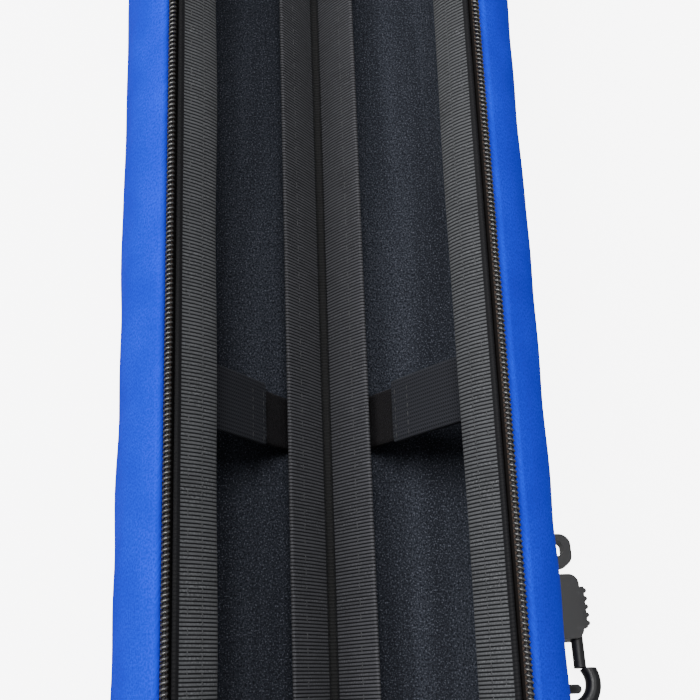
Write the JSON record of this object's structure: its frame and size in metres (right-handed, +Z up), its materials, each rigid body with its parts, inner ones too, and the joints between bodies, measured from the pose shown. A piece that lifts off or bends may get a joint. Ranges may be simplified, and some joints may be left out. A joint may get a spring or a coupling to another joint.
{
  "type": "telescope carry case",
  "caption": "Long slim zip case of two padded half tubes, open like a book, with hook-and-loop straps and snap hooks.",
  "frame": {"origin": "on the floor under the middle of the open case's overall box", "axes": "+X across the case, away from the spine on the half with the snap hooks; +Y along the case, from the near end to the far end; +Z up"},
  "size_m": [0.1366, 0.822, 0.0699],
  "materials": {
    "cover_fabric": "brushed polyester laminated on foam",
    "lining_fabric": "matte knitted lining",
    "zip_tape": "woven polyester tape",
    "zip_coil": "moulded nylon coil",
    "grosgrain": "ribbed grosgrain binding",
    "hinge_tape": "ribbed tape",
    "strap_webbing": "flat woven webbing",
    "loop_tape": "brushed loop pile",
    "hook_tape": "moulded hook pile",
    "zip_metal": "black electrophoretic paint",
    "ring_plastic": "moulded acetal",
    "hook_plastic": "moulded acetal",
    "latch_plastic": "moulded acetal"
  },
  "bodies": {
    "root": {"right_shell": "cover_fabric", "right_lining": "lining_fabric", "right_zip_tape": "zip_tape", "right_zip_coil": "zip_coil", "right_zip_stops": "zip_metal", "right_zip_binding": "grosgrain", "right_spine_binding": "grosgrain", "right_strap_seams": "strap_webbing", "right_loop_patches": "loop_tape", "spine_hinge_tape": "hinge_tape", "ring_tab_near": "strap_webbing", "ring_tab_far": "strap_webbing"},
    "left_half": {"left_shell": "cover_fabric", "left_lining": "lining_fabric", "left_zip_tape": "zip_tape", "left_zip_coil": "zip_coil", "left_zip_stops": "zip_metal", "left_zip_binding": "grosgrain", "left_spine_binding": "grosgrain", "left_strap_seams": "strap_webbing", "left_loop_patches": "loop_tape"},
    "right_strap_1": {"right_strap_1": "strap_webbing", "right_strap_hooks_1": "hook_tape"},
    "left_strap_1": {"left_strap_1": "strap_webbing", "left_strap_hooks_1": "hook_tape"},
    "right_strap_2": {"right_strap_2": "strap_webbing", "right_strap_hooks_2": "hook_tape"},
    "left_strap_2": {"left_strap_2": "strap_webbing", "left_strap_hooks_2": "hook_tape"},
    "right_strap_3": {"right_strap_3": "strap_webbing", "right_strap_hooks_3": "hook_tape"},
    "left_strap_3": {"left_strap_3": "strap_webbing", "left_strap_hooks_3": "hook_tape"},
    "zip_slider_near": {"zip_slider_near": "zip_metal"},
    "zip_pull_near": {"zip_pull_near": "zip_metal"},
    "zip_slider_far": {"zip_slider_far": "zip_metal"},
    "zip_pull_far": {"zip_pull_far": "zip_metal"},
    "strap_ring_near": {"strap_ring_near": "ring_plastic"},
    "hook_near": {"hook_body_near": "hook_plastic"},
    "hook_latch_near": {"hook_latch_near": "latch_plastic"},
    "hook_swivel_near": {"hook_swivel_near": "hook_plastic"},
    "strap_ring_far": {"strap_ring_far": "ring_plastic"},
    "hook_far": {"hook_body_far": "hook_plastic"},
    "hook_latch_far": {"hook_latch_far": "latch_plastic"},
    "hook_swivel_far": {"hook_swivel_far": "hook_plastic"}
  },
  "joints": [
    {"name": "clamshell", "type": "hinge", "parent": "root", "child": "left_half", "pos_m": [-0.00903, 0, 0.00529], "axis": [0, -1, 0], "range_deg": [-66, 114]},
    {"name": "right_strap_1_peel", "type": "hinge", "parent": "root", "child": "right_strap_1", "pos_m": [0.02739, -0.25, 0.05128], "axis": [0, 1, 0], "range_deg": [0, 88]},
    {"name": "left_strap_1_peel", "type": "hinge", "parent": "left_half", "child": "left_strap_1", "pos_m": [-0.04545, -0.25, 0.05128], "axis": [0, -1, 0], "range_deg": [0, 88]},
    {"name": "right_strap_2_peel", "type": "hinge", "parent": "root", "child": "right_strap_2", "pos_m": [0.02739, 0, 0.05128], "axis": [0, 1, 0], "range_deg": [0, 88]},
    {"name": "left_strap_2_peel", "type": "hinge", "parent": "left_half", "child": "left_strap_2", "pos_m": [-0.04545, 0, 0.05128], "axis": [0, -1, 0], "range_deg": [0, 88]},
    {"name": "right_strap_3_peel", "type": "hinge", "parent": "root", "child": "right_strap_3", "pos_m": [0.02739, 0.25, 0.05128], "axis": [0, 1, 0], "range_deg": [0, 88]},
    {"name": "left_strap_3_peel", "type": "hinge", "parent": "left_half", "child": "left_strap_3", "pos_m": [-0.04545, 0.25, 0.05128], "axis": [0, -1, 0], "range_deg": [0, 88]},
    {"name": "zip_slide_near", "type": "slide", "parent": "root", "child": "zip_slider_near", "axis": [0.5446, 0, 0.8387], "range_m": [0, 0.055]},
    {"name": "zip_pull_near_flip", "type": "hinge", "parent": "zip_slider_near", "child": "zip_pull_near", "pos_m": [-0.00086, -0.409, 0.01787], "axis": [-0.8387, 0, 0.5446], "range_deg": [0, 180]},
    {"name": "zip_slide_far", "type": "slide", "parent": "root", "child": "zip_slider_far", "axis": [0.5446, 0, 0.8387], "range_m": [0, 0.055]},
    {"name": "zip_pull_far_flip", "type": "hinge", "parent": "zip_slider_far", "child": "zip_pull_far", "pos_m": [-0.00086, 0.409, 0.01787], "axis": [0.8387, 0, -0.5446], "range_deg": [0, 180]},
    {"name": "strap_ring_near_swing", "type": "hinge", "parent": "root", "child": "strap_ring_near", "pos_m": [0.04732, -0.33, 0.01606], "axis": [0.5299, 0, 0.848], "range_deg": [-45, 8]},
    {"name": "hook_near_swing", "type": "hinge", "parent": "strap_ring_near", "child": "hook_near", "pos_m": [0.05877, -0.33, 0.00891], "axis": [-0.5299, 0, -0.848], "range_deg": [-5, 78]},
    {"name": "hook_latch_near_slide", "type": "slide", "parent": "hook_near", "child": "hook_latch_near", "axis": [0, 0.9945, -0.1045], "range_m": [0, 0.0055], "stiffness_N_per_m": 150, "springref_m": -0.004},
    {"name": "hook_swivel_near_turn", "type": "hinge", "parent": "hook_near", "child": "hook_swivel_near", "pos_m": [0.05677, -0.3282, 0.00891], "axis": [0, 0.9945, -0.1045], "continuous": true},
    {"name": "strap_ring_far_swing", "type": "hinge", "parent": "root", "child": "strap_ring_far", "pos_m": [0.04732, 0.27, 0.01606], "axis": [0.5299, 0, 0.848], "range_deg": [-45, 8]},
    {"name": "hook_far_swing", "type": "hinge", "parent": "strap_ring_far", "child": "hook_far", "pos_m": [0.05877, 0.27, 0.00891], "axis": [-0.5299, 0, -0.848], "range_deg": [-5, 78]},
    {"name": "hook_latch_far_slide", "type": "slide", "parent": "hook_far", "child": "hook_latch_far", "axis": [0, 0.9945, -0.1045], "range_m": [0, 0.0055], "stiffness_N_per_m": 150, "springref_m": -0.004},
    {"name": "hook_swivel_far_turn", "type": "hinge", "parent": "hook_far", "child": "hook_swivel_far", "pos_m": [0.05677, 0.2718, 0.00891], "axis": [0, 0.9945, -0.1045], "continuous": true}
  ]
}
